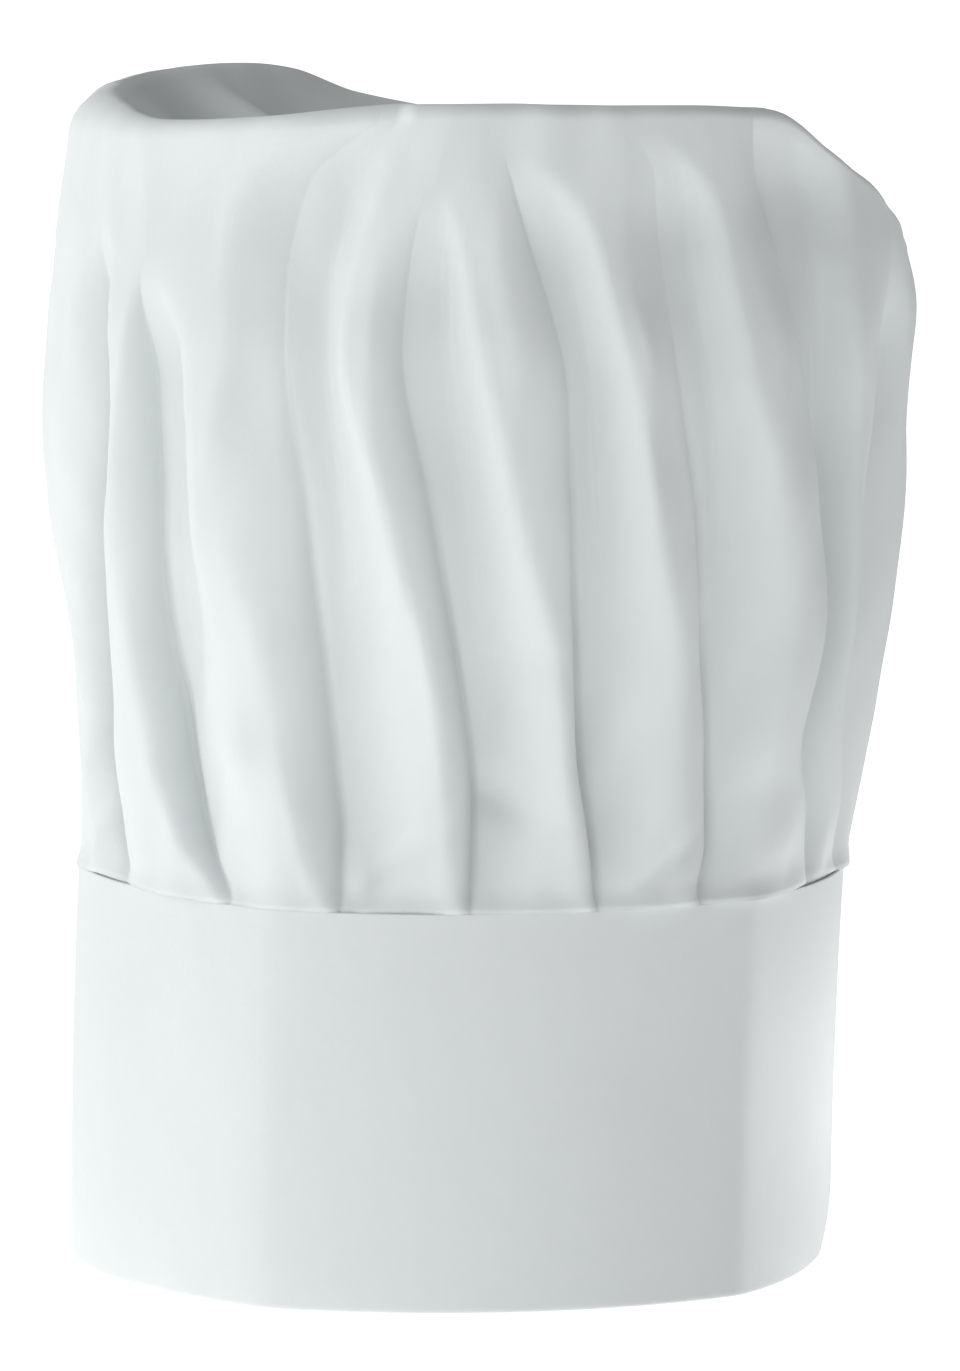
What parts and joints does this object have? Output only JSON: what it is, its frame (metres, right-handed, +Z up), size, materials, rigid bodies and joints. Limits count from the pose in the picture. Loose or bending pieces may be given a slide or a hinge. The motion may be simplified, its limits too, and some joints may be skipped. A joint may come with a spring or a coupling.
{
  "type": "chef hat",
  "caption": "Tall pleated cloth chef hat with a stiff upright band and a puffed crown whose top slumps softly to one side.",
  "frame": {"origin": "under the middle of the whole hat, in the plane that the band's lower edge stands on", "axes": "+Z up through the crown, front of the hat towards -Y, +X to the right as the hat is looked at from its front"},
  "size_m": [0.213, 0.2138, 0.2989],
  "materials": {
    "band_cloth": "white plain-woven cotton, stiffened and pressed, matt with a faint sheen",
    "crown_cloth": "white plain-woven cotton, soft and matt"
  },
  "bodies": {
    "root": {"band": "band_cloth", "crown": "crown_cloth"}
  },
  "joints": []
}
